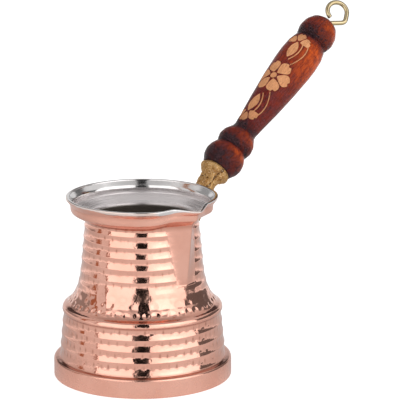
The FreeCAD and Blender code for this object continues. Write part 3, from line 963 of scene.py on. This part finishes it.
def ring_tube(name, rings, attributes):
    """A closed tube: the last ring joins the first, as round a bore."""
    count, round_count = rings.shape[:2]
    i = np.arange(count)[:, None] * round_count
    after = (np.arange(count)[:, None] + 1) % count * round_count
    j = np.arange(round_count)[None, :]
    k = (j + 1) % round_count
    quads = np.stack([i + j, i + k, after + k, after + j], axis=-1).reshape(-1, 4).tolist()
    local = rings.reshape(-1, 3)
    flat = [(label, np.asarray(values).ravel()) for label, values in attributes]
    return mesh_object(name, on_handle(local), quads, flat + [("local", local)])


# ---------- hook wire
wire_radius, thread_radius = 1.25, 1.5
thread_length, thread_pitch = 8.0, 0.5
eye_radius = 5.4
eye_turn = math.radians(-42)          # how far the eye is turned about the handle


def heading(angle):
    """A unit step (side, along) at an angle from the handle's axis."""
    return np.array([math.sin(angle), math.cos(angle)])


def wire_line():
    """The middle of the wire, as (side, along): thread, straight, heel, knee and round the eye."""
    shank, heel_bend, knee_bend = math.radians(48), 2.2, 4.2
    entry_heading = math.radians(-23)
    start, sweep = math.radians(90) + entry_heading, math.radians(236)
    centre = np.array([1.5, wood_length + 9.3])
    leave = np.array([0.0, wood_length - 0.9])
    entry = centre + heading(start) * eye_radius
    # the knee is where the shank meets the line on which the wire runs into the eye
    matrix = np.array([heading(shank), -heading(entry_heading)]).T
    knee = leave + heading(shank) * np.linalg.solve(matrix, entry - leave)[0]
    corners = [(0.0, -thread_length, 0), (*leave, heel_bend), (*knee, knee_bend), (*entry, 0)]
    line = list(rounded(corners, 0.25))
    for angle in np.linspace(start, start - sweep, 90)[1:]:
        line.append(centre + heading(angle) * eye_radius)
    return np.array(line)


def hook_wire():
    """The tie rod with its rolled thread and its eye, as one drawn wire."""
    line = wire_line()
    run = running_length(line)
    count = 40
    turn = np.arange(count) * 2 * math.pi / count
    tangent = np.gradient(line, run, axis=0)
    tangent /= np.linalg.norm(tangent, axis=1, keepdims=True)
    total = run[-1]
    rings, local = [], []
    for (side, along), (ts, ta), s in zip(line, tangent, run):
        on_thread = smooth((thread_length + 0.6 - s) / 0.8)
        screw = 0.5 + 0.5 * np.cos(2 * math.pi * s / thread_pitch - turn)
        crest = wire_radius + (thread_radius - wire_radius) * screw
        radius = wire_radius + (crest - wire_radius) * on_thread
        radius = radius - 0.35 * smooth((0.7 - s) / 0.7) - 0.45 * smooth((s - total + 0.45) / 0.45) ** 2
        across = radius * np.cos(turn)
        off = radius * np.sin(turn)
        rings.append(np.stack([side + across * ta, off, along - across * ts], axis=-1))
        local.append(np.stack([across, off, np.full(count, s)], axis=-1))
    rings = np.array(rings)
    c, s = math.cos(eye_turn), math.sin(eye_turn)
    turned = np.stack([rings[..., 0] * c - rings[..., 1] * s, rings[..., 0] * s + rings[..., 1] * c,
                       rings[..., 2]], axis=-1)
    placed = on_handle(turned)
    return closed_lathe("hook_wire", placed, placed[0].mean(axis=0), placed[-1].mean(axis=0),
                        [("local", local)])


# ---------- studio
camera_azimuth = math.radians(-135)       # where the camera stands, seen from the pot
camera_distance = 1.2
camera_height = 0.375
camera_pitch = math.radians(13.36)
camera_yaw = math.radians(1.39)
camera_lens = 221.5


def studio_camera():
    camera = bpy.data.cameras.new("camera")
    camera.sensor_width = 36.0
    camera.lens = camera_lens
    camera.clip_start = 0.01
    made = bpy.data.objects.new("camera", camera)
    bpy.context.collection.objects.link(made)
    looking = camera_azimuth + math.pi - camera_yaw
    forward = Vector((math.cos(looking) * math.cos(camera_pitch),
                      math.sin(looking) * math.cos(camera_pitch), -math.sin(camera_pitch)))
    right = forward.cross(Vector((0, 0, 1))).normalized()
    up = right.cross(forward)
    made.matrix_world = Matrix((right, up, -forward)).transposed().to_4x4()
    made.location = (camera_distance * math.cos(camera_azimuth),
                     camera_distance * math.sin(camera_azimuth), camera_height)
    bpy.context.scene.camera = made


def studio_world():
    """Two tall softboxes with a dark gap between them, a white sweep behind and a grey ceiling."""
    world = bpy.data.worlds.new("studio")
    bpy.context.scene.world = world
    world.use_nodes = True
    n = Nodes(world.node_tree)
    shader = world.node_tree.nodes["Background"]
    x, y, z = n.split(n.add("ShaderNodeTexCoord").outputs["Generated"])
    cos_a, sin_a = math.cos(camera_azimuth), math.sin(camera_azimuth)
    toward = n.plus(n.times(x, cos_a), n.times(y, sin_a))
    # positive to the camera's right
    sideways = n.plus(n.times(x, -sin_a), n.times(y, cos_a))
    azimuth = n.times(n.math("ARCTAN2", sideways, toward), 180 / math.pi)
    height = n.times(n.math("ARCSINE", z), 180 / math.pi)

    def window(value, low, high, soft):
        rise = n.ramp(value, low - soft, low + soft)
        fall = n.ramp(value, high - soft, high + soft, 1.0, 0.0)
        return n.times(rise, fall)

    def layer(under, low, high, bottom, top, level, soft=1.0, soft_up=3.0):
        """Lights a patch, low to high degrees to the camera's right and bottom to top degrees up."""
        mask = n.times(window(azimuth, low, high, soft), window(height, bottom, top, soft_up))
        return n.mix(mask, under, level if isinstance(level, tuple) else (level, level, level))

    light = n.mix(n.ramp(height, 74, 88), (0.62, 0.62, 0.62), (0.42, 0.42, 0.42))
    light = n.mix(n.ramp(height, 48, 62), (0.85, 0.85, 0.85), light)
    behind = n.math("GREATER_THAN", n.math("ABSOLUTE", azimuth), 146)
    light = n.mix(n.times(behind, window(height, 19, 46, 4.0)), light, (0.08, 0.07, 0.07))
    light = layer(light, -146, -108, 4, 30, 0.36)
    light = layer(light, -108, -99, -6, 60, 0.75)
    light = layer(light, -99, -89, -2, 50, (0.42, 0.19, 0.10))
    light = layer(light, -89, -70, -8, 55, 0.88)
    light = layer(light, -70, -66, -2, 50, (0.32, 0.14, 0.08))
    light = layer(light, -66, -12, -8, 46, 1.7, 1.0, 7.0)
    light = layer(light, 11, 84, -8, 46, 1.75, 1.0, 7.0)
    light = layer(light, 24, 60, 8, 44, 2.3, 8.0, 8.0)
    light = layer(light, 84, 142, -3, 30, 0.17)
    light = layer(light, -12, 11, -0.5, 74, 0.012, 1.0, 1.2)
    seen = n.add("ShaderNodeLightPath").outputs["Is Camera Ray"]
    n.put(shader.inputs["Color"], n.mix(seen, light, (1.15, 1.15, 1.15)))


def studio_floor():
    """A round white table top that glows: evenly for the camera, and in the copper's reflections with
    painted light, brighter in front of the pot and far off.
    """
    mesh = bpy.data.meshes.new("floor")
    half, sides = 0.8, 96
    corners = [(half * math.cos(2 * math.pi * i / sides), half * math.sin(2 * math.pi * i / sides), 0)
               for i in range(sides)]
    mesh.from_pydata(corners, [], [tuple(range(sides))])
    made = bpy.data.objects.new("floor", mesh)
    bpy.context.collection.objects.link(made)
    finish, n, shader = material("pale_floor", 0.0, 0.6)
    x, y, z = n.split(n.place())
    far = n.math("SQRT", n.plus(n.times(x, x), n.times(y, y)))
    toward = n.plus(n.times(x, math.cos(camera_azimuth)), n.times(y, math.sin(camera_azimuth)))
    front = n.math("DIVIDE", toward, n.math("MAXIMUM", far, 0.001))
    seen = n.add("ShaderNodeLightPath").outputs["Is Camera Ray"]
    # painted light: seen only in reflections, the floor glows brighter in front of the pot and far off
    mirrored = n.plus(n.ramp(front, -0.55, 0.75, 0.22, 0.46), n.ramp(far, 0.22, 0.78, 0.0, 0.60))
    glow = n.mix(seen, n.join(mirrored, mirrored, mirrored), n.join(0.80, 0.80, 0.80))
    shader.inputs["Base Color"].default_value = (0.55, 0.55, 0.55, 1)
    shader.inputs["Specular IOR Level"].default_value = 0.0
    n.put(shader.inputs["Emission Color"], glow)
    shader.inputs["Emission Strength"].default_value = 1.0
    mesh.materials.append(finish)
    made.location.z = copper_low.z - 0.0001


# ---------- assembly
dress(hammered_pot(), copper_material(), "copper_body", "pot")
dress(tin_wash(), tin_material(), "tin_lining", "pot")
dress(cast_bracket(), brass_material(), "handle_bracket", "pot")
dress(peened_rivets(), rivet_material(), "bracket_rivets", "pot")
dress(carved_grip(), wood_material(), "wood_handle", "grip")
dress(hook_wire(), wire_material(), "hook_rod", "hook")

studio_world()
studio_floor()
studio_camera()
bpy.context.scene.view_settings.view_transform = "Standard"
